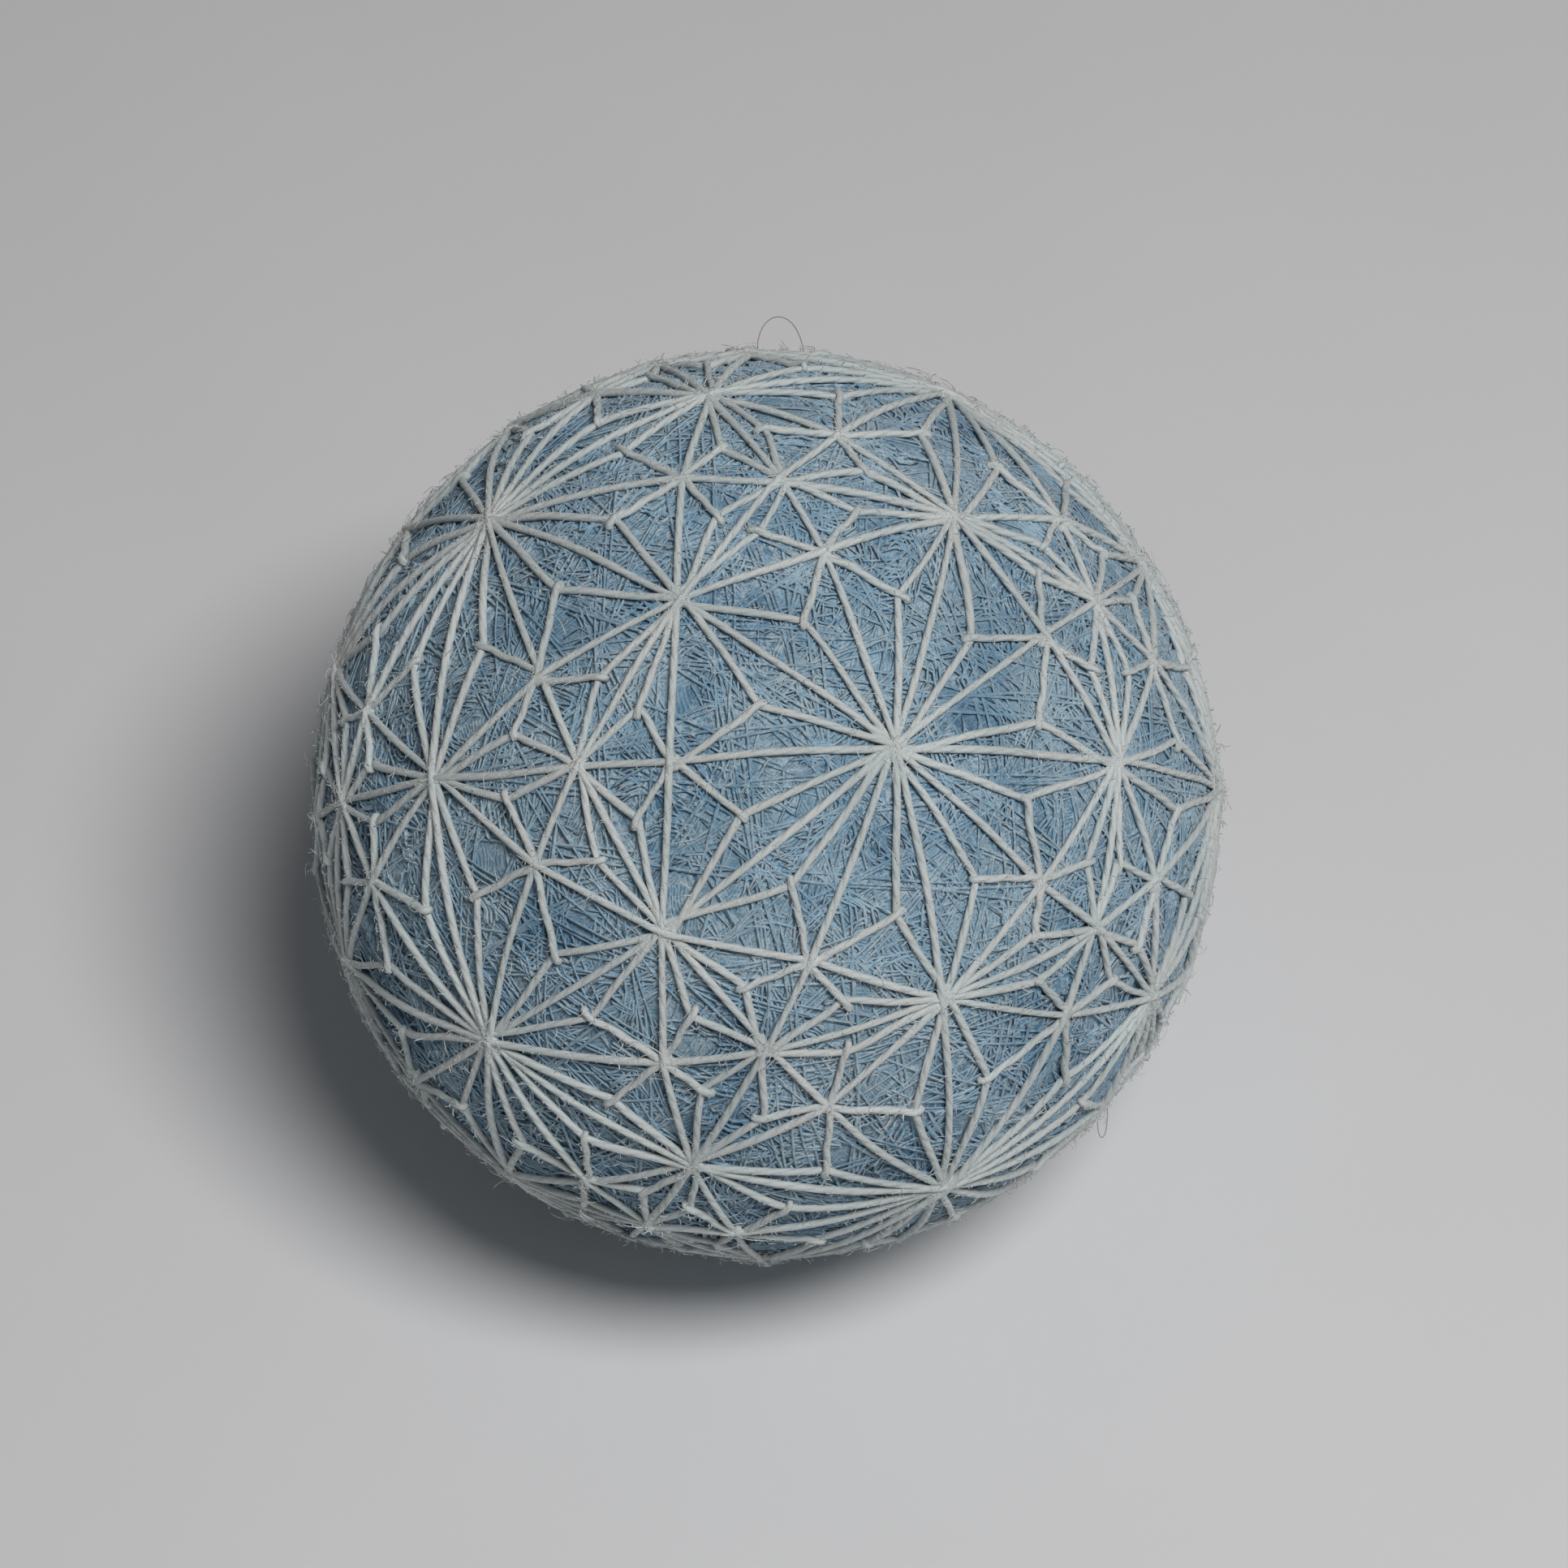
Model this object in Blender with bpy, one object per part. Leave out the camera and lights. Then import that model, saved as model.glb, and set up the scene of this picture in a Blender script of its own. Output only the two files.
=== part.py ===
"""Temari ball: thread wound into a ball, with a net of stars stitched over it in a paler thread.

Metres, +Z up. The origin is the middle of the small flat spot that the ball rests on.
The stitched threads stand up as ridges in the ball's one skin: each field that they
enclose has the thread tops as its rim, and falls to the wound ball just inside it.
"""

import math
import random
from collections import namedtuple

import bmesh
import bpy
from mathutils import Matrix, Vector

# The wound ball
BALL_RADIUS = 0.040
FLAT_RADIUS = 0.006
CENTRE_HEIGHT = math.sqrt(BALL_RADIUS**2 - FLAT_RADIUS**2)

# The stitched thread, as it stands on the ball
THREAD_RISE = 0.0005
THREAD_HALF_WIDTH = 0.0004

# Thread piled up where the rays of a star cross, over the thread's own rise
STAR_RISE = {"pin": 0.0006, "halfway": 0.0004, "middle": 0.0003, "small": 0.0002, "knot": 0.0}

# Straight runs that a ridge is made of, for each kind of thread
RUNS = {
    frozenset(("pin", "halfway")): 4,
    frozenset(("pin", "small")): 3,
    frozenset(("halfway", "small")): 2,
    frozenset(("halfway", "middle")): 2,
    frozenset(("middle", "small")): 1,
    frozenset(("pin", "knot")): 2,
    frozenset(("halfway", "knot")): 2,
    frozenset(("middle", "knot")): 1,
    frozenset(("small", "knot")): 1,
}

# Which way the net is turned, in degrees: where its front pin points, and its twist round it
FRONT_PIN_BEARING = -59.0
FRONT_PIN_HEIGHT = 58.0
NET_TWIST = 63.5

# The pins: one in front, five round it, five round the back, each between two of those, and one behind
NEAR_RING = ("right", "upper_right", "upper_left", "lower_left", "lower_right")
FAR_RING = ("far_upper_right", "far_top", "far_left", "far_bottom", "far_right")
RING_HEIGHT = math.atan(0.5)

# Pins and halfway stars that were laid out of true by hand, in millimetres to the right
# and up, as seen from the front at this height in degrees. The rest stray at random.
SEEN_FROM = 55.0
MM = 0.001
Shift = namedtuple("Shift", "pins right up")
SHIFTS = (
    Shift({"front"}, -0.5, 0.0),
    Shift({"upper_right"}, 0.5, 0.0),
    Shift({"upper_left"}, 0.5, 0.0),
    Shift({"lower_left"}, -0.5, -1.5),
    Shift({"lower_right"}, -1.0, 0.0),
    Shift({"front", "upper_left"}, 0.5, 0.0),
    Shift({"front", "lower_left"}, -1.0, -1.5),
    Shift({"front", "lower_right"}, -0.5, 1.0),
    Shift({"front", "upper_right"}, 0.5, 0.5),
    Shift({"upper_left", "lower_left"}, 0.0, -0.5),
    Shift({"upper_right", "upper_left"}, -0.5, -0.5),
    Shift({"lower_left", "lower_right"}, -1.5, 0.0),
    Shift({"right", "lower_right"}, 0.0, 2.5),
    Shift({"right", "upper_right"}, 1.0, -0.5),
    Shift({"upper_left", "far_left"}, 0.0, -2.0),
    Shift({"lower_left", "far_left"}, 0.5, -1.5),
    Shift({"upper_left", "far_top"}, 0.5, 0.5),
)
STRAY = 0.0003
KNOT_STRAY = 0.0004
STRAY_SEED = 20

# A small star sits where two lines cross, drawn this share of the way to its pin
SMALL_STAR_PULL = 0.04

# Colours and finish of the two threads
WOUND_COLOUR = (0.24, 0.36, 0.45, 1.0)
STITCHED_COLOUR = (0.70, 0.73, 0.72, 1.0)
THREAD_ROUGHNESS = 0.85
WOUND, STITCHED = 0, 1

Star = namedtuple("Star", "kind name way")


def clear_scene():
    for obj in list(bpy.data.objects):
        bpy.data.objects.remove(obj, do_unlink=True)


def thread_material(name, colour):
    material = bpy.data.materials.new(name)
    material.use_nodes = True
    shader = material.node_tree.nodes["Principled BSDF"]
    shader.inputs["Base Color"].default_value = colour
    shader.inputs["Roughness"].default_value = THREAD_ROUGHNESS
    shader.inputs["Metallic"].default_value = 0.0
    return material


def direction(bearing, height):
    level = math.cos(height)
    return Vector((level * math.cos(bearing), level * math.sin(bearing), math.sin(height)))


def moved(way, across, up):
    """A direction from the ball's centre, moved over its surface by two lengths as seen from the front."""
    tilt = math.radians(SEEN_FROM)
    view_up = Vector((0.0, math.sin(tilt), math.cos(tilt)))
    return (way * BALL_RADIUS + Vector((across, 0.0, 0.0)) + view_up * up).normalized()


def laid(way, pins, rng):
    """Where a pin or halfway star really lies: by its row in the table, or a little astray."""
    stray = Vector((rng.gauss(0.0, STRAY), rng.gauss(0.0, STRAY), rng.gauss(0.0, STRAY)))
    for row in SHIFTS:
        if row.pins == pins:
            return moved(way, row.right * MM, row.up * MM)
    return (way * BALL_RADIUS + stray).normalized()


def make_pins(rng):
    """The twelve pins by name, as directions from the ball's centre."""
    true = {"front": Vector((0.0, 0.0, 1.0))}
    step = math.tau / len(NEAR_RING)
    for place, name in enumerate(NEAR_RING):
        true[name] = direction(place * step, RING_HEIGHT)
    for place, name in enumerate(FAR_RING):
        true[name] = direction((place + 0.5) * step, -RING_HEIGHT)
    true["back"] = Vector((0.0, 0.0, -1.0))
    turn = (
        Matrix.Rotation(math.radians(FRONT_PIN_BEARING), 3, "Z")
        @ Matrix.Rotation(math.radians(90.0 - FRONT_PIN_HEIGHT), 3, "Y")
        @ Matrix.Rotation(math.radians(NET_TWIST), 3, "Z")
    )
    return {name: Star("pin", name, laid(turn @ way, {name}, rng)) for name, way in true.items()}


def pin_triangles():
    """The twenty triangles of neighbouring pins, each named anticlockwise from outside."""
    found = []
    count = len(NEAR_RING)
    for place in range(count):
        after = (place + 1) % count
        near, next_near = NEAR_RING[place], NEAR_RING[after]
        far, next_far = FAR_RING[place], FAR_RING[after]
        found.append(("front", near, next_near))
        found.append((near, far, next_near))
        found.append((far, next_far, next_near))
        found.append(("back", next_far, far))
    return found


def make_fields(rng):
    """The net's triangles of three stars, anticlockwise, each with the knot of its three-armed stitch."""
    pins = make_pins(rng)
    halfway = {}
    fields = []
    for corners in pin_triangles():
        for first, second in zip(corners, corners[1:] + corners[:1]):
            pair = frozenset((first, second))
            if pair not in halfway:
                way = (pins[first].way + pins[second].way).normalized()
                halfway[pair] = Star("halfway", "+".join(sorted(pair)), laid(way, pair, rng))
        sides = [halfway[frozenset((corners[i], corners[(i + 1) % 3]))] for i in range(3)]
        triangle_name = "+".join(sorted(corners))
        middle_way = (sides[0].way + sides[1].way + sides[2].way).normalized()
        middle = Star("middle", triangle_name, middle_way)
        for i, corner in enumerate(corners):
            pin, side_after, side_before = pins[corner], sides[i], sides[i - 1]
            crossing = (side_after.way + side_before.way).normalized()
            small_way = (crossing + pin.way * SMALL_STAR_PULL).normalized()
            small = Star("small", corner + " in " + triangle_name, small_way)
            fields.append((pin, side_after, small))
            fields.append((pin, small, side_before))
            fields.append((middle, small, side_after))
            fields.append((middle, side_before, small))
    return [(stars, knot_of(stars, rng)) for stars in fields]


def knot_of(stars, rng):
    centre = (stars[0].way + stars[1].way + stars[2].way).normalized()
    stray = Vector((rng.gauss(0.0, KNOT_STRAY), rng.gauss(0.0, KNOT_STRAY), rng.gauss(0.0, KNOT_STRAY)))
    name = " / ".join(star.name for star in stars)
    return Star("knot", name, (centre * BALL_RADIUS + stray).normalized())


class NetMesh:
    """The ball's skin, built field by field, with the thread tops shared by the fields beside them."""

    def __init__(self):
        self.bm = bmesh.new()
        self.centre = Vector((0.0, 0.0, CENTRE_HEIGHT))
        self.tops = {}
        self.lines = {}

    def vertex(self, way, radius):
        return self.bm.verts.new(self.centre + way * radius)

    def star_top(self, star):
        key = (star.kind, star.name)
        if key not in self.tops:
            self.tops[key] = self.vertex(star.way, BALL_RADIUS + THREAD_RISE + STAR_RISE[star.kind])
        return self.tops[key]

    def thread_line(self, start, end):
        """The top of the thread from one star to another, without its last point."""
        key = ((start.kind, start.name), (end.kind, end.name))
        if key not in self.lines:
            runs = RUNS[frozenset((start.kind, end.kind))]
            between = [
                self.vertex(start.way.slerp(end.way, step / runs), BALL_RADIUS + THREAD_RISE)
                for step in range(1, runs)
            ]
            self.lines[key] = [self.star_top(start)] + between
            self.lines[key[::-1]] = [self.star_top(end)] + between[::-1]
        return self.lines[key]

    def foot_of_thread(self, before, here, after):
        """The point on the ball just inside a field's rim, one thread's half width from both its sides."""
        out = (here - self.centre).normalized()
        inward_before = out.cross(here - before).normalized()
        inward_after = out.cross(after - here).normalized()
        aside = (inward_before + inward_after) * (THREAD_HALF_WIDTH / (1.0 + inward_before.dot(inward_after)))
        return self.vertex((out * BALL_RADIUS + aside).normalized(), BALL_RADIUS)

    def add_field(self, corners):
        rim = []
        for start, end in zip(corners, corners[1:] + corners[:1]):
            rim += self.thread_line(start, end)
        count = len(rim)
        foot = [
            self.foot_of_thread(rim[i - 1].co, rim[i].co, rim[(i + 1) % count].co)
            for i in range(count)
        ]
        for i in range(count):
            after = (i + 1) % count
            slope = self.bm.faces.new((rim[i], rim[after], foot[after], foot[i]))
            slope.material_index = STITCHED
        floor = self.bm.faces.new(foot)
        floor.material_index = WOUND

    def to_object(self, name):
        bmesh.ops.triangulate(self.bm, faces=self.bm.faces[:])
        for face in self.bm.faces:
            face.smooth = True
        mesh = bpy.data.meshes.new(name)
        self.bm.to_mesh(mesh)
        self.bm.free()
        obj = bpy.data.objects.new(name, mesh)
        bpy.context.scene.collection.objects.link(obj)
        return obj


def cut_flat_spot(ball):
    """Cuts the ball level at Z = 0 with a block that stands below it."""
    bpy.ops.mesh.primitive_cube_add(size=2.0 * BALL_RADIUS, location=(0.0, 0.0, -BALL_RADIUS))
    cutter = bpy.context.active_object
    cutter.name = "flat_spot_cutter"
    cutter.hide_render = True
    cutter.display_type = "WIRE"
    cut = ball.modifiers.new("flat spot", "BOOLEAN")
    cut.operation = "DIFFERENCE"
    cut.object = cutter


def build_ball():
    net = NetMesh()
    for stars, knot in make_fields(random.Random(STRAY_SEED)):
        first, second, third = stars
        net.add_field((first, second, knot))
        net.add_field((second, third, knot))
        net.add_field((third, first, knot))
    ball = net.to_object("wound_ball")
    ball.data.materials.append(thread_material("blue wound thread", WOUND_COLOUR))
    ball.data.materials.append(thread_material("off-white stitched thread", STITCHED_COLOUR))
    cut_flat_spot(ball)


clear_scene()
build_ball()
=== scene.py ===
"""Temari ball: fine blue thread wound in crossing turns, under an off-white stitched net of stars.

Metres, +Z up. The origin is the middle of the small flat spot that the ball rests on.
"""

import math
import random
from collections import namedtuple
from functools import partial

import bmesh
import bpy
import numpy as np
from mathutils import Matrix, Vector


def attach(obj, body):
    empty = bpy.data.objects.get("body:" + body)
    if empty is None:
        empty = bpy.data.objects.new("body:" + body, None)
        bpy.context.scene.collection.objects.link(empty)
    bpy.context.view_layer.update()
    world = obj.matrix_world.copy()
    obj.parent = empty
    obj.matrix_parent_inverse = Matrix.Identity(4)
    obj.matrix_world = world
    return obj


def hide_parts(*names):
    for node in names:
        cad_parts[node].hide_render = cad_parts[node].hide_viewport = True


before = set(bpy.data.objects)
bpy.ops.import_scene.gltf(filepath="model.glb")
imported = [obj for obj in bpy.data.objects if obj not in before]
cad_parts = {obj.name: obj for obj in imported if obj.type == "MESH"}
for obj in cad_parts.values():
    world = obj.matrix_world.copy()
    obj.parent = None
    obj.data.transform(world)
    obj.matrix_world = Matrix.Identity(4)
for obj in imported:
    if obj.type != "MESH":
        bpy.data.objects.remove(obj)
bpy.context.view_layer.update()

MM = 0.001

# The wound ball
BALL_RADIUS = 0.040
FLAT_RADIUS = 0.006
CENTRE_HEIGHT = math.sqrt(BALL_RADIUS**2 - FLAT_RADIUS**2)
CENTRE = np.array((0.0, 0.0, CENTRE_HEIGHT))

# Near the flat spot everything is pressed up: heights between these two are squeezed
# into what is above the floor
PRESSED_FROM = 0.9 * MM
LOWEST_UNPRESSED = -1.1 * MM

# Which way the net is turned, in degrees: where its front pin points, and its twist round it
FRONT_PIN_BEARING = -59.0
FRONT_PIN_HEIGHT = 58.0
NET_TWIST = 63.5

# The pins: one in front, five round it, five round the back, each between two of those, and one behind
NEAR_RING = ("right", "upper_right", "upper_left", "lower_left", "lower_right")
FAR_RING = ("far_upper_right", "far_top", "far_left", "far_bottom", "far_right")
RING_HEIGHT = math.atan(0.5)

# Pins and halfway stars that were laid out of true by hand, in millimetres to the right
# and up, as seen from the front at this height in degrees. The rest stray at random.
SEEN_FROM = 55.0
VIEW_RIGHT = np.array((1.0, 0.0, 0.0))
VIEW_UP = np.array((0.0, math.sin(math.radians(SEEN_FROM)), math.cos(math.radians(SEEN_FROM))))
Shift = namedtuple("Shift", "pins right up")
SHIFTS = (
    Shift({"front"}, -0.5, 0.0),
    Shift({"upper_right"}, 0.5, 0.0),
    Shift({"upper_left"}, 0.5, 0.0),
    Shift({"lower_left"}, -0.5, -1.5),
    Shift({"lower_right"}, -1.0, 0.0),
    Shift({"front", "upper_left"}, 0.5, 0.0),
    Shift({"front", "lower_left"}, -1.0, -1.5),
    Shift({"front", "lower_right"}, -0.5, 1.0),
    Shift({"front", "upper_right"}, 0.5, 0.5),
    Shift({"upper_left", "lower_left"}, 0.0, -0.5),
    Shift({"upper_right", "upper_left"}, -0.5, -0.5),
    Shift({"lower_left", "lower_right"}, -1.5, 0.0),
    Shift({"right", "lower_right"}, 0.0, 2.5),
    Shift({"right", "upper_right"}, 1.0, -0.5),
    Shift({"upper_left", "far_left"}, 0.0, -2.0),
    Shift({"lower_left", "far_left"}, 0.5, -1.5),
    Shift({"upper_left", "far_top"}, 0.5, 0.5),
)
STRAY = 0.0003
KNOT_STRAY = 0.0004
STRAY_SEED = 20

# A small star sits where two lines cross, drawn this share of the way to its pin
SMALL_STAR_PULL = 0.04

Star = namedtuple("Star", "kind name way")

# The stitched thread
NET_SEED = 7
STITCHED_RADIUS = 0.315 * MM
STITCHED_SIDES = 8
STITCHED_STEP = 1.1 * MM
STEM_STEP = 0.6 * MM
STITCHED_LIFT = 0.20 * MM
STITCHED_WANDER = 0.05 * MM
SLOWEST_WANDER = 2
POINTS_PER_FASTEST_WANDER = 12

# How much its thickness varies, over how many points that is smoothed, and where it is cut off
SLUB = 0.07
SLUB_POINTS = 7
SLUB_LIMIT = 1.8

# How high the uppermost line stands over the lowest where lines cross, for each kind of star,
# and over what distance from there its bend is softened
CROSSING_RISE = {"pin": 0.60 * MM, "halfway": 0.45 * MM, "middle": 0.35 * MM, "small": 0.30 * MM}
SOFTENED_OVER = 0.3 * MM
LINE_OFF_CENTRE = 0.17 * MM
LEG_OFF_CENTRE = 0.26 * MM
LEG_RISE = 0.55
LEG_PAST_CENTRE = (0.0, 0.3 * MM)
STEM_PAST_KNOT = (0.10 * MM, 0.75 * MM)
STEM_OVER_KNOT = 0.30 * MM
VEE_UNDER_STEM = -0.12 * MM
KNOT_WIDTH = 0.8 * MM
STEM_FROM_HALFWAY_SHARE = 0.2

# Where a thread turns down into the ball: how far on and down each added point lies, and its thickness
Dive = namedtuple("Dive", "on down thickness")
DIVES = (Dive(0.16 * MM, 0.10 * MM, 1.05), Dive(0.24 * MM, 0.50 * MM, 0.9))

# The wound thread
WOUND_SEED = 11
WOUND_RADIUS = 0.145 * MM
WOUND_SIDES = 3
BAND_COUNT = 100
BAND_TURNS = 3
TURN_POINTS = 84
BAND_SPACING = 0.42 * MM
BAND_SPREAD = (0.8, 1.5)
BAND_SCATTER = 0.22 * MM
BAND_DEPTH_MM = (-0.08, 0.08)
BAND_STRAY = 0.6
TURN_TILT = 0.25 * BAND_SCATTER / BALL_RADIUS
TURN_THICKNESS = (0.88, 1.12)
TURN_WANDER = 0.45 * MM
TURN_DEPTH = 0.19 * MM
TURN_WEAVE = 0.07 * MM
UNDERLAYER_DEPTH = 0.33 * MM
UNDERLAYER_DETAIL = 5

# The fewest and most waves round the ball that a turn's wander and weave have
WANDER_WAVES = (1, 9)
BAND_WEAVE_WAVES = (5, 18)
TURN_WEAVE_WAVES = (5, 20)

# What a turn's weave takes from its band's and has of its own
BAND_WEAVE_SHARE = 0.5
OWN_WEAVE_SHARE = 0.87

# How light a turn is: the least, and what its band and the turn itself add at most
LEAST_TURN_TONE = 0.10
BAND_TONE = 0.3
OWN_TURN_TONE = 0.3

# Where the wound thread comes up between other turns and goes down again
GLIMPSE_GROUPS = 2640
GLIMPSE_PIECES = 2
GLIMPSES_IN_GROUP = 5
GLIMPSE_RADIUS = 0.165 * MM
GLIMPSE_LENGTH = (1.6 * MM, 4.4 * MM)
GLIMPSE_SPACING = 0.36 * MM
GLIMPSE_SCATTER = 0.08 * MM
GLIMPSE_THICKNESS = (0.8, 1.2)
GLIMPSE_TURN = 0.07
GLIMPSE_SLIDE = 0.6 * MM
GLIMPSE_BOW = 0.60 * MM
GLIMPSE_WOBBLE = 0.06 * MM
GLIMPSE_TOP = (-0.32 * MM, -0.02 * MM)
GLIMPSE_DIVE = 0.26 * MM

# How much of such a length's height is its group's and how much its own
GROUP_HEIGHT_SHARE = 0.6
OWN_HEIGHT_SHARE = 0.4

# How light it is: the least, and what its height (painted shade: a lower length is darker), its group and
# the length itself add at most
LEAST_GLIMPSE_TONE = -0.05
HEIGHT_PAINTED_SHADE = 0.55
GROUP_TONE = 0.3
OWN_GLIMPSE_TONE = 0.25

# Along each such length: how far on it is, how far down, and how much of its bow it has
GLIMPSE_ROWS = ((0.0, 1.0, -0.6), (0.18, 0.0, 0.2), (0.5, 0.0, 1.0), (0.82, 0.0, 0.2), (1.0, 1.0, -0.6))

# How many sides a short length or a loose fibre has
SPINDLE_SIDES = 3

# Loose fibres on the threads
FUZZ_SEED = 5
FUZZ_ROOT_DEPTH = 0.06 * MM
FIBRE_ROOT_SHARE = 0.8
FIBRE_RADIUS = 0.047 * MM
FIBRE_THICKNESS = (0.7, 1.2)
FIBRE_RISES = (0.3, 1.8)
FIBRE_CURLS = (0.4, 1.3)
SHORTEST_FIBRE = 0.3 * MM
FIBRE_LIES_WITHIN = 0.10 * MM
FIBRE_STANDS_OUT = 0.38 * MM
Fuzz = namedtuple("Fuzz", "count steps mean_length longest")
STITCHED_FUZZ = (
    Fuzz(9000, 2, 0.50 * MM, 1.4 * MM),
    Fuzz(6500, 3, 0.7 * MM, 2.2 * MM),
    Fuzz(2600, 4, 1.3 * MM, 3.6 * MM),
)
WOUND_FUZZ = (
    Fuzz(7000, 2, 0.50 * MM, 1.4 * MM),
    Fuzz(7500, 3, 0.7 * MM, 2.2 * MM),
    Fuzz(2600, 4, 1.3 * MM, 3.6 * MM),
)

# Two stray hairs that stand out from the ball, as seen from the front at the camera's height: the ends
# and the two control points of each one's curve, in millimetres to the right of the ball's centre and up
STRAY_HAIR_RADIUS = 0.045 * MM
STRAY_HAIR_POINTS = 15
STRAY_HAIR_TONE = 0.5
STRAY_HAIRS = (
    ((-0.7, 39.8), (-1.3, 44.4), (3.0, 45.4), (3.5, 39.8)),
    ((30.5, -26.0), (30.9, -30.3), (29.7, -30.8), (29.7, -28.4)),
)

# The dyes: each thread's dark and light colour, between which its own tone and its painted shade and
# highlight are mixed, its deeper and hazier places, and the loose fibres on it
Dye = namedtuple("Dye", "dark light deep haze fibre")
WOUND_DYE = Dye(
    (0.09, 0.23, 0.37), (0.45, 0.66, 0.80), (0.10, 0.26, 0.41), (0.40, 0.54, 0.61), (0.59, 0.70, 0.74)
)
# The layer under the turns is the same thread, coloured darker here as painted shade of its lower place
UNDERLAYER_PAINTED_SHADE_DYE = Dye(
    (0.06, 0.15, 0.24), (0.36, 0.57, 0.71), (0.08, 0.21, 0.34), (0.35, 0.48, 0.56), (0.55, 0.65, 0.70)
)
STITCHED_DYE = Dye(
    (0.50, 0.57, 0.57), (0.72, 0.78, 0.77), (0.52, 0.58, 0.57), (0.71, 0.70, 0.69), (0.78, 0.80, 0.80)
)
HAIR_DYE = Dye(
    (0.26, 0.24, 0.22), (0.46, 0.43, 0.40), (0.28, 0.26, 0.24), (0.44, 0.42, 0.40), (0.45, 0.43, 0.41)
)
STITCHED_FIBRE_DYE = Dye(
    (0.58, 0.63, 0.63), (0.82, 0.85, 0.84), (0.60, 0.65, 0.65), (0.78, 0.77, 0.76), (0.82, 0.84, 0.84)
)
WOUND_FIBRE_DYE = Dye(
    (0.34, 0.46, 0.56), (0.66, 0.74, 0.78), (0.34, 0.46, 0.56), (0.60, 0.66, 0.69), (0.66, 0.72, 0.75)
)
FLOOR_COLOURS = ((0.83, 0.83, 0.84), (0.87, 0.87, 0.88))
FLOOR_GRAIN = 100.0 * MM / 3.0
FLOOR_GRAIN_DETAIL = 4.0

# How rough each material is and how much sheen it has, and what all have in common
THREAD_FINISH = (0.9, 0.25)
UNDERLAYER_FINISH = (0.95, 0.1)
FLOOR_FINISH = (0.9, 0.0)
SHARED_FINISH = {"Specular IOR Level": 0.2, "Sheen Roughness": 0.6}

# How a thread is twisted: its plies, the length of one twist, how much its relief stands out,
# how much the fibres on it show, and how much of its colour is painted shade in the valleys between plies
# and painted highlight on their tops
Twist = namedtuple("Twist", "plies pitch relief_height fibre_strength ply_share")
WOUND_TWIST = Twist(2, 1.1 * MM, 0.03 * MM, 0.75, 0.12)
STITCHED_TWIST = Twist(2, 1.9 * MM, 0.10 * MM, 0.35, 0.40)
FIBRE_TWIST = Twist(1, 1.0 * MM, 0.01 * MM, 0.2, 0.22)
UNDERLAYER_RELIEF = 0.10 * MM
UNDERLAYER_FIBRE_STRENGTH = 0.75

# The fine fibres of a thread: how they run with its twist, the size of their noise, how much of its colour
# its own tone and its painted ply shade make together, and their part in its shade and in its relief
FIBRES_PER_PLY = 5.0
FIBRES_PER_PITCH = 0.9
FIBRE_NOISE_SIZE = 0.5
FIBRE_NOISE_DETAIL = 3.0
TONE_AND_PAINTED_PLY_SHADE = 0.75
FIBRE_SHADE = 0.35
FIBRE_RELIEF = 0.6

# Places on the ball that are dyed deeper or look hazier: where their noise starts, its size,
# the values from which and up to which they fade in, and how strong they are
Patches = namedtuple("Patches", "start size low high strength")
DEEP_PATCHES = Patches((0.0, 0.0, 0.0), 12.0 * MM, 0.40, 0.64, 0.72)
HAZY_PATCHES = Patches((0.43, 0.37, 0.59), 9.0 * MM, 0.40, 0.70, 0.45)
FUZZY_PATCHES = Patches((0.0, 0.0, 0.0), 5.0 * MM, 0.30, 0.62, 0.75)

# Three sets of fine curled lines for the finest fibres: where their noise starts, its size, their width
CURLED_LINES = (
    ((0.0, 0.0, 0.0), 1.5 * MM, 0.048),
    ((0.31, 0.17, 0.23), 1.0 * MM, 0.052),
    ((0.53, 0.71, 0.11), 1.2 * MM, 0.048),
)
CURL_DISTORTION = 0.7
CURLS_EVERYWHERE = 0.25
CURL_RELIEF = 0.03
RELIEF_STRENGTH = 0.8

# Bunches of strands in the layer below the turns: where each layer starts, its bunches' size and
# its strands' width. A bunch fades from the first of its two fades, in cell widths, to the second.
BUNCH_LAYERS = (
    ((0.13, 0.29, 0.41), 3.2 * MM, 0.33 * MM),
    ((0.37, 0.11, 0.61), 4.2 * MM, 0.30 * MM),
    ((0.59, 0.47, 0.19), 2.7 * MM, 0.32 * MM),
)
BUNCH_BEND_SIZE = 2.6 * MM
BUNCH_BEND = 4.0
BUNCH_FADES = (0.70, 0.20)

# What makes a strand high: its round top, its own height, how near its bunch's middle it is, its bunch
STRAND_HEIGHTS = (0.55, 0.35, 0.9, 0.5)

# What makes a strand light: itself and its bunch; its sides are also painted darker and its round top
# lighter, as painted shade and highlight
STRAND_LIGHTS = (0.7, 0.5)

# The camera, from where the ball lies in the square frame
FRAME_PIXELS = 1932
BALL_PIXEL_X = 943.5
BALL_PIXEL_Y = 991.0
BALL_PIXEL_RADIUS = 559.0
OUTLINE_RADIUS = BALL_RADIUS + 0.4 * MM
CAMERA_DISTANCE_RADII = 10.0
SENSOR_WIDTH = 36.0
CLIP_RANGE = (0.01, 20.0)
FLOOR_HALF_WIDTH = 2.0

# The lights
KEY_PLACE = (0.196, -0.222, 0.693)
KEY_WIDTHS = (0.31, 0.195)
KEY_POWER = 3.21
KEY_COLOUR = (1.0, 0.99, 0.98)
ROOM_COLOUR = (0.92, 0.95, 1.0, 1.0)
ROOM_STRENGTH = 0.081


def direction(bearing, height):
    level = math.cos(height)
    return Vector((level * math.cos(bearing), level * math.sin(bearing), math.sin(height)))


def moved(way, across, up):
    """A direction from the ball's centre, moved over its surface by two lengths as seen from the front."""
    return (way * BALL_RADIUS + Vector(VIEW_RIGHT) * across + Vector(VIEW_UP) * up).normalized()


def random_step(rng, spread):
    return Vector([rng.gauss(0.0, spread) for _ in range(3)])


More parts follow.
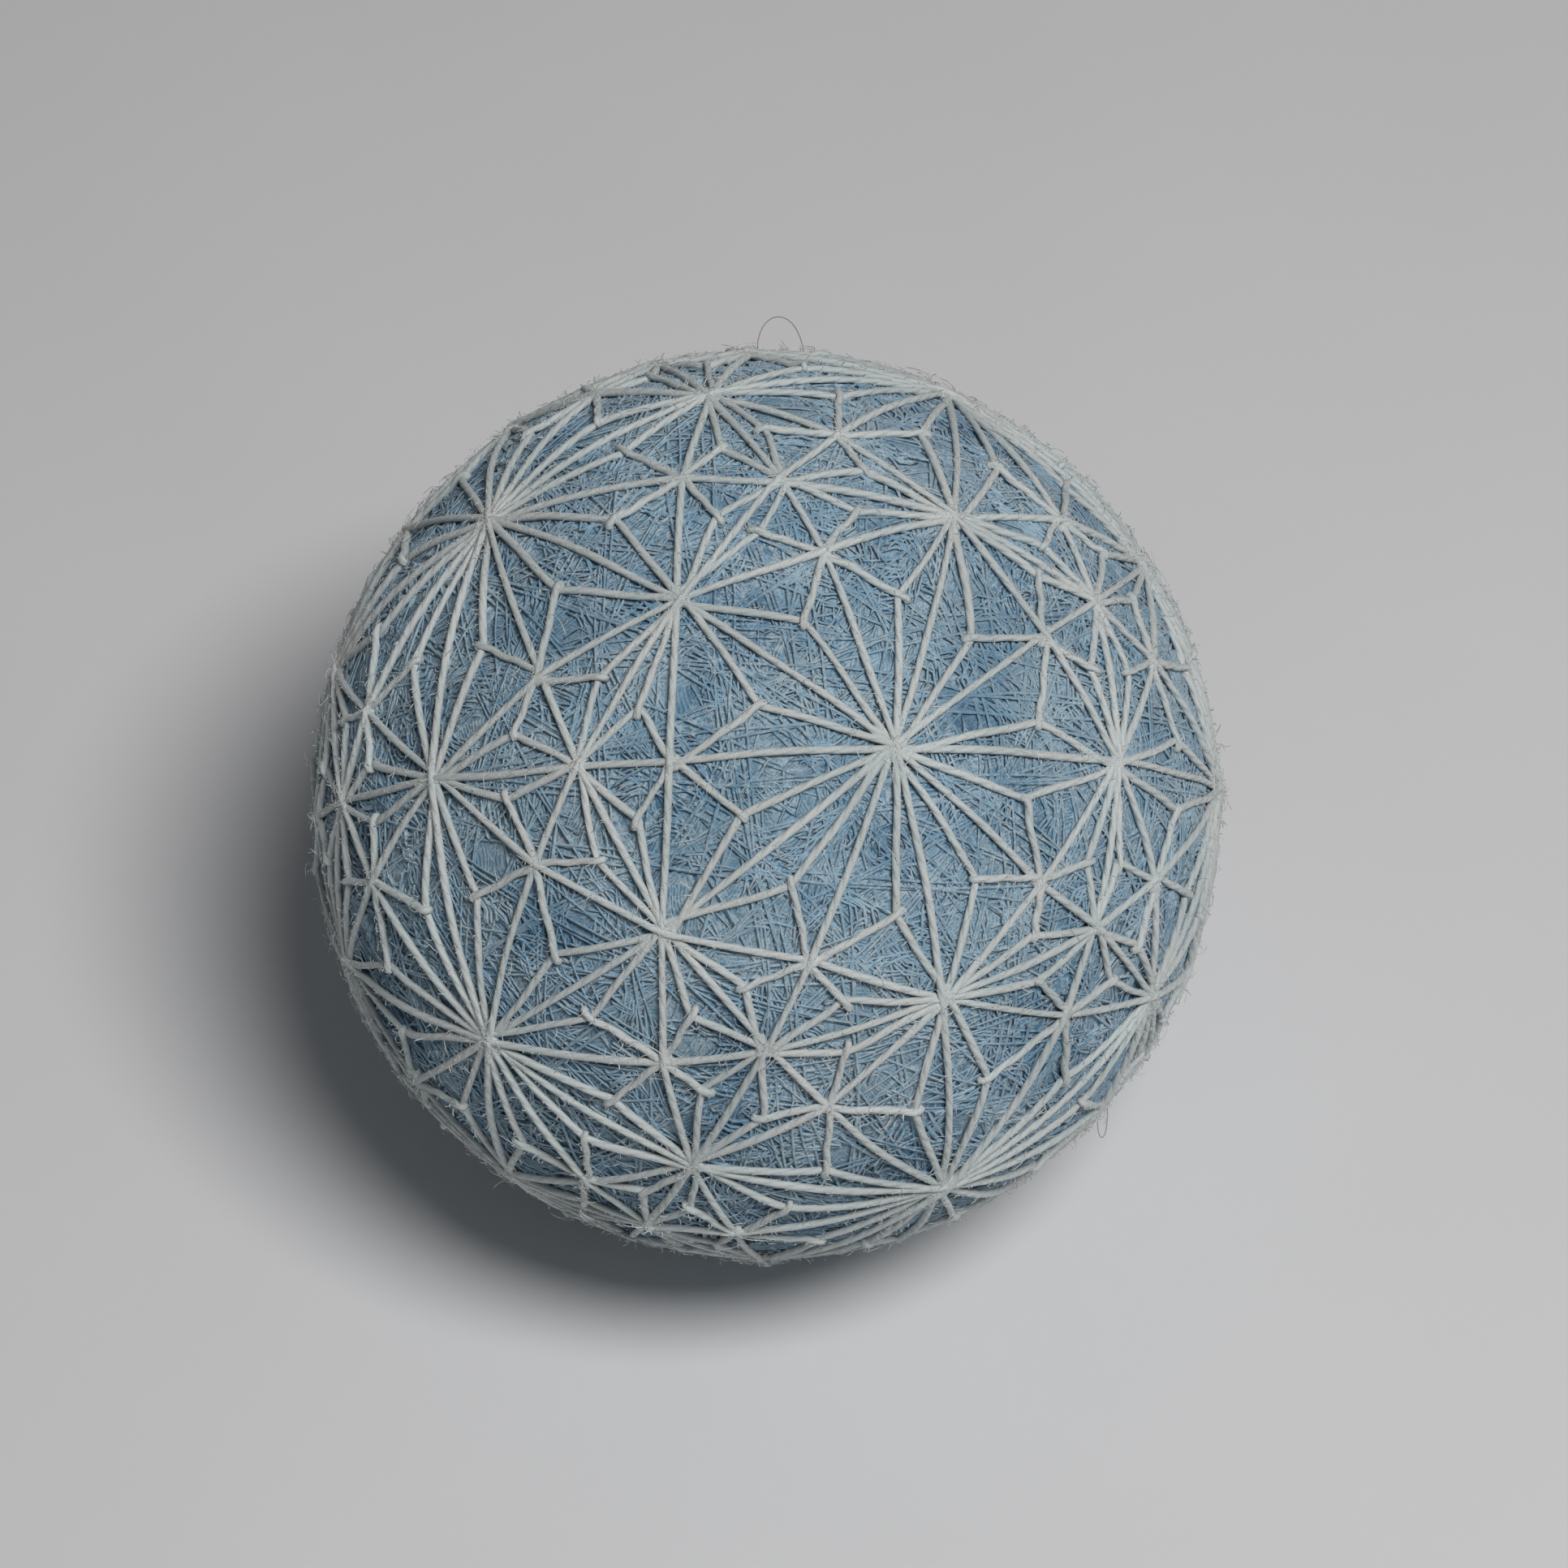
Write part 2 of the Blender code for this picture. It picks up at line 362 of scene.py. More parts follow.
def laid(way, pins, rng):
    """Where a pin or halfway star really lies: by its row in the table, or a little astray."""
    stray = random_step(rng, STRAY)
    for row in SHIFTS:
        if row.pins == pins:
            return moved(way, row.right * MM, row.up * MM)
    return (way * BALL_RADIUS + stray).normalized()


def make_pins(rng):
    """The twelve pins by name, as directions from the ball's centre."""
    true = {"front": Vector((0.0, 0.0, 1.0))}
    step = math.tau / len(NEAR_RING)
    for place, name in enumerate(NEAR_RING):
        true[name] = direction(place * step, RING_HEIGHT)
    for place, name in enumerate(FAR_RING):
        true[name] = direction((place + 0.5) * step, -RING_HEIGHT)
    true["back"] = Vector((0.0, 0.0, -1.0))
    turn = (
        Matrix.Rotation(math.radians(FRONT_PIN_BEARING), 3, "Z")
        @ Matrix.Rotation(math.radians(90.0 - FRONT_PIN_HEIGHT), 3, "Y")
        @ Matrix.Rotation(math.radians(NET_TWIST), 3, "Z")
    )
    return {name: Star("pin", name, laid(turn @ way, {name}, rng)) for name, way in true.items()}


def pin_triangles():
    """The twenty triangles of neighbouring pins, each named anticlockwise from outside."""
    found = []
    count = len(NEAR_RING)
    for place in range(count):
        after = (place + 1) % count
        near, next_near = NEAR_RING[place], NEAR_RING[after]
        far, next_far = FAR_RING[place], FAR_RING[after]
        found.append(("front", near, next_near))
        found.append((near, far, next_near))
        found.append((far, next_far, next_near))
        found.append(("back", next_far, far))
    return found


def make_fields(rng):
    """The net's triangles of three stars, anticlockwise, each with the knot of its three-armed stitch."""
    pins = make_pins(rng)
    halfway = {}
    fields = []
    for corners in pin_triangles():
        for first, second in zip(corners, corners[1:] + corners[:1]):
            pair = frozenset((first, second))
            if pair not in halfway:
                way = (pins[first].way + pins[second].way).normalized()
                halfway[pair] = Star("halfway", "+".join(sorted(pair)), laid(way, pair, rng))
        sides = [halfway[frozenset((corners[i], corners[(i + 1) % 3]))] for i in range(3)]
        triangle_name = "+".join(sorted(corners))
        middle_way = (sides[0].way + sides[1].way + sides[2].way).normalized()
        middle = Star("middle", triangle_name, middle_way)
        for i, corner in enumerate(corners):
            pin, side_after, side_before = pins[corner], sides[i], sides[i - 1]
            crossing = (side_after.way + side_before.way).normalized()
            small_way = (crossing + pin.way * SMALL_STAR_PULL).normalized()
            small = Star("small", corner + " in " + triangle_name, small_way)
            fields.append((pin, side_after, small))
            fields.append((pin, small, side_before))
            fields.append((middle, small, side_after))
            fields.append((middle, side_before, small))
    return [(stars, knot_of(stars, rng)) for stars in fields]


def knot_of(stars, rng):
    centre = (stars[0].way + stars[1].way + stars[2].way).normalized()
    name = " / ".join(star.name for star in stars)
    return Star("knot", name, (centre * BALL_RADIUS + random_step(rng, KNOT_STRAY)).normalized())


def unit(vectors):
    return vectors / np.linalg.norm(vectors, axis=-1, keepdims=True)


def pressed_flat(points):
    """The points with what lies under and just over the floor squeezed in above it."""
    points = points.copy()
    low = points[..., 2] < PRESSED_FROM
    span = PRESSED_FROM - LOWEST_UNPRESSED
    share = np.clip((points[..., 2][low] - LOWEST_UNPRESSED) / span, 0.0, 1.0)
    points[..., 2][low] = PRESSED_FROM * share ** (span / PRESSED_FROM)
    return points


def smooth_noise(rng, angles, slowest, fastest, parts=5):
    """A smooth random value about 0 for each angle round a circle, of about unit spread."""
    waves = rng.integers(slowest, fastest + 1, parts)
    starts = rng.uniform(0.0, math.tau, parts)
    total = np.cos(np.outer(angles, waves) + starts).sum(axis=1)
    return total * math.sqrt(2.0 / parts)


def headings(points, closed):
    """Which way a line of points runs at each of them."""
    if closed:
        return unit(np.roll(points, -1, axis=0) - np.roll(points, 1, axis=0))
    return unit(np.gradient(points, axis=0))


Thread = namedtuple("Thread", "points outs radii closed tone")


class TubeMesh:
    """Many thread tubes in one mesh, with how far round and along each is as its UV map."""

    def __init__(self, sides):
        self.sides = sides
        self.points, self.faces, self.around_along, self.tones = [], [], [], []
        self.count = 0

    def add(self, thread):
        sides, rows = self.sides, len(thread.points)
        along = headings(thread.points, thread.closed)
        aside = unit(np.cross(along, thread.outs))
        up = np.cross(aside, along)
        turn = math.pi + np.arange(sides) * (math.tau / sides)
        ring = aside[:, None] * np.sin(turn)[:, None] + up[:, None] * np.cos(turn)[:, None]
        skin = thread.points[:, None] + ring * thread.radii[:, None, None]
        self.points.append(skin.reshape(-1, 3))
        self.tones.append(np.full(rows * sides, thread.tone))
        step = np.linalg.norm(thread.points - np.roll(thread.points, 1, axis=0), axis=1) / MM
        length = np.cumsum(step) - step[0]
        last = rows if thread.closed else rows - 1
        row, side = np.divmod(np.arange(last * sides), sides)
        next_row, next_side = (row + 1) % rows, (side + 1) % sides
        here, there = row * sides, next_row * sides
        quads = np.stack((here + side, here + next_side, there + next_side, there + side), axis=1)
        reach = length[row]
        next_reach = np.where(next_row > row, length[next_row], length[-1] + step[0])
        around = np.stack((side, side + 1, side + 1, side), axis=1) / sides
        onward = np.stack((reach, reach, next_reach, next_reach), axis=1)
        self.faces.append(quads + self.count)
        self.around_along.append(np.stack((around, onward), axis=-1).reshape(-1, 2))
        if not thread.closed:
            self.add_end(self.count, length[0], True)
            self.add_end(self.count + (rows - 1) * sides, length[-1], False)
        self.count += rows * sides

    def add_end(self, first, reach, at_start):
        """Closes a thread's end with a row of four-cornered faces."""
        sides = self.sides
        across = np.arange(sides // 2 - 1)
        faces = np.stack((across, across + 1, sides - 2 - across, sides - 1 - across), axis=1)
        if at_start:
            faces = faces[:, ::-1]
        self.faces.append(faces + first)
        around = (faces % sides / sides).ravel()
        self.around_along.append(np.stack((around, np.full(around.shape, reach)), axis=1))

    def to_object(self, name, material):
        arrays = (self.points, self.faces, self.around_along, self.tones)
        return object_from_arrays(name, *(np.concatenate(array) for array in arrays), material)


def linked(name, data):
    """A new object in the scene."""
    obj = bpy.data.objects.new(name, data)
    bpy.context.scene.collection.objects.link(obj)
    return obj


def object_from_arrays(name, points, faces, around_along, tones, material):
    """A smooth mesh object, pressed flat below, from points and faces that all have as many corners."""
    points = pressed_flat(points)
    corners = faces.shape[1]
    mesh = bpy.data.meshes.new(name)
    mesh.vertices.add(len(points))
    mesh.vertices.foreach_set("co", points.ravel())
    mesh.loops.add(faces.size)
    mesh.loops.foreach_set("vertex_index", faces.ravel().astype(np.int32))
    mesh.polygons.add(len(faces))
    mesh.polygons.foreach_set("loop_start", np.arange(0, faces.size, corners, dtype=np.int32))
    mesh.update(calc_edges=True)
    mesh.uv_layers.new(name="thread").data.foreach_set("uv", around_along.ravel())
    mesh.attributes.new("tone", "FLOAT", "POINT").data.foreach_set("value", tones)
    mesh.shade_smooth()
    mesh.materials.append(material)
    return linked(name, mesh)


# Laying the net

def shifted(way, rng, spread):
    """A direction moved over the ball's face at random."""
    return unit(way * BALL_RADIUS + rng.normal(0.0, spread, 3))


def past(start, end, distance):
    """The direction that lies past end, as seen from start."""
    ahead = unit(end - start * np.dot(start, end) / np.dot(start, start))
    return unit(end * BALL_RADIUS + ahead * distance)


def over_the_ball(ways, closed, gap):
    """Directions about every gap along the great circle runs between the directions given."""
    laid_ways = []
    ends = ways[1:] + ways[:1] if closed else ways[1:]
    for start, end in zip(ways, ends):
        angle = math.acos(min(1.0, float(np.dot(start, end))))
        steps = max(1, round(angle * BALL_RADIUS / gap))
        share = np.arange(steps)[:, None] / steps
        run = (np.sin((1.0 - share) * angle) * start + np.sin(share * angle) * end) / math.sin(angle)
        laid_ways.append(run)
    if not closed:
        laid_ways.append(ways[-1][None, :])
    return unit(np.concatenate(laid_ways))


def stretched_over(height, distance):
    """How high a tight thread is over the ball, at a distance from where it is held up."""
    reach = math.sqrt(2.0 * BALL_RADIUS * max(height, 0.0))
    softened = np.sqrt(distance**2 + SOFTENED_OVER**2)
    return np.maximum(0.0, reach - softened) ** 2 / (2.0 * BALL_RADIUS)


def distance_from(way, ways):
    return np.arccos(np.clip(ways @ way, -1.0, 1.0)) * BALL_RADIUS


def slubbed(rng, count):
    """Thread radii that swell and thin a little along the thread."""
    walk = rng.normal(0.0, 1.0, count + SLUB_POINTS - 1)
    smooth = np.convolve(walk, np.ones(SLUB_POINTS) / math.sqrt(SLUB_POINTS), mode="valid")
    return STITCHED_RADIUS * (1.0 + SLUB * np.clip(smooth, -SLUB_LIMIT, SLUB_LIMIT))


def buried_end(before, end, out, radius):
    """The points and thicknesses that turn a thread's end down into the ball."""
    ahead = unit(end - before)
    points = [end + ahead * dive.on - out * dive.down for dive in DIVES]
    return points, [radius * dive.thickness for dive in DIVES]


def net_thread(rng, ways, rises, closed, bump=None, gap=STITCHED_STEP):
    """A stitched thread over the ball through ways, held up at each by its rise."""
    line = over_the_ball(ways, closed, gap)
    count = len(line)
    height = np.zeros(count)
    for way, rise in zip(ways, rises):
        height = np.maximum(height, stretched_over(rise, distance_from(way, line)))
    if bump:
        way, rise = bump
        height += rise * np.exp(-((distance_from(way, line) / KNOT_WIDTH) ** 2))
    aside = unit(np.cross(headings(line, closed), line))
    angles = np.linspace(0.0, math.tau, count, endpoint=False)
    fastest = max(SLOWEST_WANDER + 1, count // POINTS_PER_FASTEST_WANDER)
    wander = smooth_noise(rng, angles, SLOWEST_WANDER, fastest)
    line = unit(line * BALL_RADIUS + aside * (STITCHED_WANDER * wander)[:, None])
    points = CENTRE + line * (BALL_RADIUS + STITCHED_LIFT + height)[:, None]
    radii = slubbed(rng, count)
    if not closed:
        first, first_radii = buried_end(points[1], points[0], line[0], radii[0])
        last, last_radii = buried_end(points[-2], points[-1], line[-1], radii[-1])
        points = np.concatenate((first[::-1], points, last))
        radii = np.concatenate((first_radii[::-1], radii, last_radii))
        line = np.concatenate((line[:1], line[:1], line, line[-1:], line[-1:]))
    return Thread(points, line, radii, closed, rng.uniform(0.0, 1.0))


class Net:
    """The stars by name, each with its neighbours along the net's lines."""

    def __init__(self, fields):
        self.fields = fields
        self.stars = {}
        self.neighbours = {}
        for stars, _ in fields:
            for star in stars:
                self.stars.setdefault(star.name, star)
            for start, end in zip(stars, stars[1:] + stars[:1]):
                self.neighbours.setdefault(start.name, []).append(end.name)

    def way(self, name):
        return np.array(self.stars[name].way)

    def heading(self, here, there):
        start, end = self.way(here), self.way(there)
        return unit(end - start * np.dot(start, end))

    def straight_on(self, before, here):
        """The star that a line goes on to, the one most nearly opposite where it came from."""
        back = self.heading(here, before)
        return min(self.neighbours[here], key=lambda name: float(np.dot(back, self.heading(here, name))))

    def closed_lines(self):
        """The lines that run right round the ball, each as the names of its stars."""
        used = set()
        lines = []
        for start in self.neighbours:
            for after in self.neighbours[start]:
                if (start, after) in used:
                    continue
                line = [start]
                before, here = start, after
                while True:
                    used.update(((before, here), (here, before)))
                    onward = self.straight_on(before, here)
                    if here == start and onward == after:
                        break
                    line.append(here)
                    before, here = here, onward
                lines.append(line)
        return lines


def lay_lines(net, rng):
    """The threads that run right round the ball, through star after star."""
    lines = net.closed_lines()
    order = {name: [] for name in net.stars}
    for number, line in enumerate(lines):
        for name in line:
            order[name].append(number)
    for name in order:
        rng.shuffle(order[name])
    tubes = TubeMesh(STITCHED_SIDES)
    threads = []
    for number, line in enumerate(lines):
        ways, rises = [], []
        for name in line:
            level = order[name].index(number) / max(1, len(order[name]) - 1)
            ways.append(shifted(net.way(name), rng, LINE_OFF_CENTRE))
            rises.append(level * CROSSING_RISE[net.stars[name].kind])
        thread = net_thread(rng, ways, rises, True)
        tubes.add(thread)
        threads.append(thread)
    return tubes, threads


def arm_over(star, corner, rng):
    """The end, the centre and the rise of a stitch's arm that runs from its corner over a star."""
    centre = shifted(np.array(star.way), rng, LEG_OFF_CENTRE)
    end = past(corner, centre, rng.uniform(*LEG_PAST_CENTRE))
    return end, centre, rng.uniform(0.0, LEG_RISE) * CROSSING_RISE[star.kind]


def lay_stitches(net, rng):
    """The three-armed stitches: a V between two stars, and a stem that holds its corner down."""
    vees, stems = TubeMesh(STITCHED_SIDES), TubeMesh(STITCHED_SIDES)
    threads = []
    for stars, knot in net.fields:
        by_kind = {star.kind: star for star in stars}
        outer = by_kind.get("pin") or by_kind["middle"]
        stem_star, other = by_kind["small"], by_kind["halfway"]
        if outer.kind == "middle" and rng.uniform() < STEM_FROM_HALFWAY_SHARE:
            stem_star, other = other, stem_star
        corner = np.array(knot.way)
        first, first_centre, first_rise = arm_over(outer, corner, rng)
        last, last_centre, last_rise = arm_over(other, corner, rng)
        ways = [first, first_centre, corner, last_centre, last]
        rises = [0.0, first_rise, 0.0, last_rise, 0.0]
        vee = net_thread(rng, ways, rises, False, bump=(corner, VEE_UNDER_STEM))
        centre = shifted(np.array(stem_star.way), rng, LEG_OFF_CENTRE)
        start = past(corner, centre, rng.uniform(*LEG_PAST_CENTRE))
        stub = past(centre, corner, rng.uniform(*STEM_PAST_KNOT))
        ways = [start, centre, corner, stub]
        rises = [0.0, rng.uniform(0.0, LEG_RISE) * CROSSING_RISE[stem_star.kind], 0.0, 0.0]
        stem = net_thread(rng, ways, rises, False, bump=(corner, STEM_OVER_KNOT), gap=STEM_STEP)
        vees.add(vee)
        stems.add(stem)
        threads += [vee, stem]
    return vees, stems, threads


# Winding the ball

def spread_axes(rng, count):
    """Axes spread evenly over half the directions there are, each a little astray, in random order."""
    place = (np.arange(count) + 0.5) / count
    bearing = np.arange(count) * math.pi * (3.0 - math.sqrt(5.0))
    level = np.sqrt(1.0 - place**2)
    axes = np.stack((level * np.cos(bearing), level * np.sin(bearing), place), axis=1)
    axes = unit(axes + rng.normal(0.0, BAND_STRAY / math.sqrt(count), (count, 3)))
    return rng.permutation(axes)


def wound_turns(rng):
    """The outer turns of the winding, in bands of turns that lie side by side and cross the rest."""
    angles = np.arange(TURN_POINTS) * (math.tau / TURN_POINTS)
    threads = []
    for axis in spread_axes(rng, BAND_COUNT):
        drift = unit(np.cross(axis, rng.normal(0.0, 1.0, 3)))
        band_weave = smooth_noise(rng, angles, *BAND_WEAVE_WAVES)
        band_depth = rng.uniform(*BAND_DEPTH_MM) * MM
        band_tone = rng.uniform(0.0, 1.0)
        spacing = BAND_SPACING * rng.uniform(*BAND_SPREAD)
        for place in range(BAND_TURNS):
            lean = (place * spacing + rng.normal(0.0, BAND_SCATTER)) / BALL_RADIUS
            normal = unit(axis + drift * lean + rng.normal(0.0, TURN_TILT, 3))
            first = unit(np.cross(normal, drift))
            second = np.cross(normal, first)
            wander = smooth_noise(rng, angles, *WANDER_WAVES) * TURN_WANDER / BALL_RADIUS
            ring = np.outer(np.cos(angles), first) + np.outer(np.sin(angles), second)
            ways = unit(ring + np.outer(wander, normal))
            own_weave = smooth_noise(rng, angles, *TURN_WEAVE_WAVES)
            weave = BAND_WEAVE_SHARE * band_weave + OWN_WEAVE_SHARE * own_weave
            radius = BALL_RADIUS - TURN_DEPTH - band_depth + TURN_WEAVE * weave
            points = CENTRE + ways * radius[:, None]
            tone = LEAST_TURN_TONE + BAND_TONE * band_tone + OWN_TURN_TONE * rng.uniform(0.0, 1.0)
            radii = np.full(TURN_POINTS, WOUND_RADIUS * rng.uniform(*TURN_THICKNESS))
            threads.append(Thread(points, ways, radii, True, tone))
    return threads


def underlayer(material):
    """The closed layer of thread under the outer turns, which shows only in the gaps between them."""
    bm = bmesh.new()
    radius = BALL_RADIUS - UNDERLAYER_DEPTH
    bmesh.ops.create_icosphere(bm, subdivisions=UNDERLAYER_DETAIL, radius=radius)
    mesh = bpy.data.meshes.new("underlayer")
    bm.to_mesh(mesh)
    bm.free()
    points = np.empty(len(mesh.vertices) * 3)
    mesh.vertices.foreach_get("co", points)
    points = pressed_flat(points.reshape(-1, 3) + CENTRE)
    mesh.vertices.foreach_set("co", points.ravel())
    mesh.update()
    mesh.shade_smooth()
    mesh.materials.append(material)
    return linked("underlayer", mesh)


# Spindles: thread that comes up between turns, and loose fibres

def spindles(spines, radii, ups):
    """Points, faces and UV places of spindles, each along its own row of points to a tip at both ends."""
    count, rows = spines.shape[:2]
    ahead = unit(spines[:, 2:] - spines[:, :-2])
    aside = unit(np.cross(ahead, ups[:, None, :]))
    up = np.cross(aside, ahead)
    rings = rows - 2
    around_each = SPINDLE_SIDES * rings
    points = np.empty((count, around_each + 2, 3))
    points[:, 0] = spines[:, 0]
    points[:, -1] = spines[:, -1]
    for side in range(SPINDLE_SIDES):
        turn = side * math.tau / SPINDLE_SIDES
        spoke = (up * math.cos(turn) + aside * math.sin(turn)) * radii[:, None, None]
        points[:, 1 + side : -1 : SPINDLE_SIDES] = spines[:, 1:-1] + spoke
    faces, around = [], []
    last = around_each + 1
    for side in range(SPINDLE_SIDES):
        after = (side + 1) % SPINDLE_SIDES
        begin, middle, end = side / SPINDLE_SIDES, (side + 0.5) / SPINDLE_SIDES, (side + 1) / SPINDLE_SIDES
        faces.append((0, 1 + after, 1 + side))
        around.append((middle, end, begin))
        for ring in range(rings - 1):
            here = 1 + SPINDLE_SIDES * ring
            there = here + SPINDLE_SIDES
            faces.append((here + side, here + after, there + after))
            around.append((begin, end, end))
            faces.append((here + side, there + after, there + side))
            around.append((begin, end, begin))
        final = last - SPINDLE_SIDES
        faces.append((final + side, final + after, last))
        around.append((begin, end, middle))
    faces = np.array(faces)
    gaps = np.linalg.norm(np.diff(spines, axis=1), axis=2)
    reach = np.concatenate((np.zeros((count, 1)), np.cumsum(gaps, axis=1)), axis=1) / MM
    row_of = np.array([0] + [1 + ring for ring in range(rings) for _ in range(SPINDLE_SIDES)] + [rows - 1])
    along = reach[:, row_of][:, faces]
    around_along = np.stack((np.broadcast_to(np.array(around), along.shape), along), axis=-1)
    every = faces[None] + (np.arange(count) * (around_each + 2))[:, None, None]
    return points.reshape(-1, 3), every.reshape(-1, 3), around_along.reshape(-1, 2)


def glimpses(rng, name, groups, material):
    """Short lengths of wound thread, in groups, that come up to the ball's face and go down again."""
    shared = partial(np.repeat, repeats=GLIMPSES_IN_GROUP, axis=0)
    middle = shared(unit(rng.normal(0.0, 1.0, (groups, 3))))
    count = len(middle)
    heading = shared(rng.normal(0.0, 1.0, (groups, 3)))
    heading = unit(heading + rng.normal(0.0, GLIMPSE_TURN, (count, 3)))
    along = unit(np.cross(middle, heading))
    aside = np.cross(middle, along)
    place = np.tile(np.arange(GLIMPSES_IN_GROUP) - (GLIMPSES_IN_GROUP - 1) / 2.0, groups)
    across = place * GLIMPSE_SPACING + rng.normal(0.0, GLIMPSE_SCATTER, count)
    length = rng.uniform(*GLIMPSE_LENGTH, count)
    start = rng.normal(0.0, GLIMPSE_SLIDE, count) - length / 2.0
    group_height = shared(rng.uniform(0.0, 1.0, groups))
    height = GROUP_HEIGHT_SHARE * group_height + OWN_HEIGHT_SHARE * rng.uniform(0.0, 1.0, count)
    top = GLIMPSE_TOP[0] + (GLIMPSE_TOP[1] - GLIMPSE_TOP[0]) * height
    spines = np.empty((count, len(GLIMPSE_ROWS), 3))
    bow = shared(rng.normal(0.0, GLIMPSE_BOW, groups))
    for row, (reach, drop, bent) in enumerate(GLIMPSE_ROWS):
        onward = (start + reach * length)[:, None]
        bend = (across + bent * bow + rng.normal(0.0, GLIMPSE_WOBBLE, count))[:, None]
        way = unit(middle * BALL_RADIUS + along * onward + aside * bend)
        spines[:, row] = CENTRE + way * (BALL_RADIUS + top - drop * GLIMPSE_DIVE)[:, None]
    radii = GLIMPSE_RADIUS * rng.uniform(*GLIMPSE_THICKNESS, count)
    points, faces, around_along = spindles(spines, radii, middle)
    group_tone = shared(rng.uniform(0.0, 1.0, groups))
    own_tone = rng.uniform(0.0, 1.0, count)
    # Its height adds painted shade: lengths that lie lower are coloured darker
    tones = LEAST_GLIMPSE_TONE + HEIGHT_PAINTED_SHADE * height + GROUP_TONE * group_tone + OWN_GLIMPSE_TONE * own_tone
    tones = np.repeat(tones, len(points) // count)
    return object_from_arrays(name, points, faces, around_along, tones, material)


def face_roots(rng, count):
    """Places all over the face of the winding, with which way is out and a way along the face at each."""
    outs = unit(rng.normal(0.0, 1.0, (count, 3)))
    alongs = unit(np.cross(outs, rng.normal(0.0, 1.0, (count, 3))))
    return CENTRE + outs * (BALL_RADIUS - FUZZ_ROOT_DEPTH), outs, alongs


def thread_roots(rng, count, threads):
    """Places on the threads, with which way is out and which way the thread runs at each."""
    lengths = np.array([len(thread.points) for thread in threads])
    picks = rng.choice(len(threads), count, p=lengths / lengths.sum())
    roots, outs, alongs = np.empty((count, 3)), np.empty((count, 3)), np.empty((count, 3))
    for i, pick in enumerate(picks):
        thread = threads[pick]
        at = rng.integers(0, len(thread.points) - 1)
        share = rng.uniform()
        on_skin = thread.outs[at] * (FIBRE_ROOT_SHARE * thread.radii[at])
        roots[i] = thread.points[at] * (1.0 - share) + thread.points[at + 1] * share + on_skin
        outs[i] = thread.outs[at]
        alongs[i] = thread.points[at + 1] - thread.points[at]
    return roots, outs, unit(alongs)


def loose_fibres(rng, name, find_roots, kinds, material):
    """Fine curled fibres that lie loose on the threads, and some that stand out from them."""
    parts, made = [], 0
    for kind in kinds:
        count = kind.count
        roots, outs, alongs = find_roots(rng, count)
        asides = np.cross(alongs, outs)
        heading = unit(
            alongs * rng.normal(0.0, 1.0, (count, 1))
            + asides * rng.normal(0.0, 1.0, (count, 1))
            + outs * rng.uniform(*FIBRE_RISES, (count, 1))
        )
        length = np.minimum(SHORTEST_FIBRE + rng.exponential(kind.mean_length, count), kind.longest)
        step = length / kind.steps
        curl = unit(np.cross(heading, rng.normal(0.0, 1.0, (count, 3))))
        curl *= rng.uniform(*FIBRE_CURLS, (count, 1))
        spines = np.empty((count, kind.steps + 1, 3))
        spines[:, 0] = roots
        for row in range(kind.steps):
            spines[:, row + 1] = spines[:, row] + heading * step[:, None]
            heading = unit(heading + curl)
        ceiling = (FIBRE_LIES_WITHIN + rng.exponential(FIBRE_STANDS_OUT, count))[:, None]
        way = spines - CENTRE
        height = np.linalg.norm(way, axis=2)
        over = np.abs(height - height[:, :1])
        lowered = height[:, :1] + ceiling * np.tanh(over / ceiling)
        spines = CENTRE + way * (lowered / height)[:, :, None]
        radii = FIBRE_RADIUS * rng.uniform(*FIBRE_THICKNESS, count)
        points, faces, around_along = spindles(spines, radii, unit(rng.normal(0.0, 1.0, (count, 3))))
        tones = np.repeat(rng.uniform(0.0, 1.0, count), len(points) // count)
        parts.append((points, faces + made, around_along, tones))
        made += len(points)
    fibres = object_from_arrays(name, *(np.concatenate(part) for part in zip(*parts)), material)
    fibres.visible_shadow = False
    return fibres


def stray_hairs(material):
    """Single hairs that stand out from the ball's outline, each on one smooth curve."""
    share = np.linspace(0.0, 1.0, STRAY_HAIR_POINTS)[:, None]
    tubes = TubeMesh(STITCHED_SIDES)
    for corners in STRAY_HAIRS:
        start, first, second, end = (CENTRE + (VIEW_RIGHT * x + VIEW_UP * y) * MM for x, y in corners)
        points = (
            start * (1.0 - share) ** 3
            + first * 3.0 * share * (1.0 - share) ** 2
            + second * 3.0 * share**2 * (1.0 - share)
            + end * share**3
        )
        outs = np.tile(np.cross(VIEW_UP, VIEW_RIGHT), (STRAY_HAIR_POINTS, 1))
        radii = np.full(STRAY_HAIR_POINTS, STRAY_HAIR_RADIUS)
        tubes.add(Thread(points, outs, radii, False, STRAY_HAIR_TONE))
    return tubes.to_object("stray_hairs", material)


# Materials

def add_node(tree, kind, inputs=None, **settings):
    """A shader node with its settings, and its inputs set or linked from other nodes' sockets."""
    made = tree.nodes.new("ShaderNode" + kind)
    for name, value in settings.items():
        setattr(made, name, value)
    for slot, value in (inputs or {}).items():
        if isinstance(value, bpy.types.NodeSocket):
            tree.links.new(value, made.inputs[slot])
        else:
            made.inputs[slot].default_value = value
    return made


def calculated(tree, operation, first, second=0.0):
    return add_node(tree, "Math", {0: first, 1: second}, operation=operation).outputs[0]


def vector_result(tree, operation, first, second=(0.0, 0.0, 0.0)):
    made = add_node(tree, "VectorMath", {0: first, 1: second}, operation=operation)
    return made.outputs["Value" if operation == "DOT_PRODUCT" else "Vector"]


def weighted(tree, terms):
    """The sum of some values, each times its weight."""
    total = 0.0
    for value, weight in terms:
        total = calculated(tree, "ADD", calculated(tree, "MULTIPLY", value, weight), total)
    return total


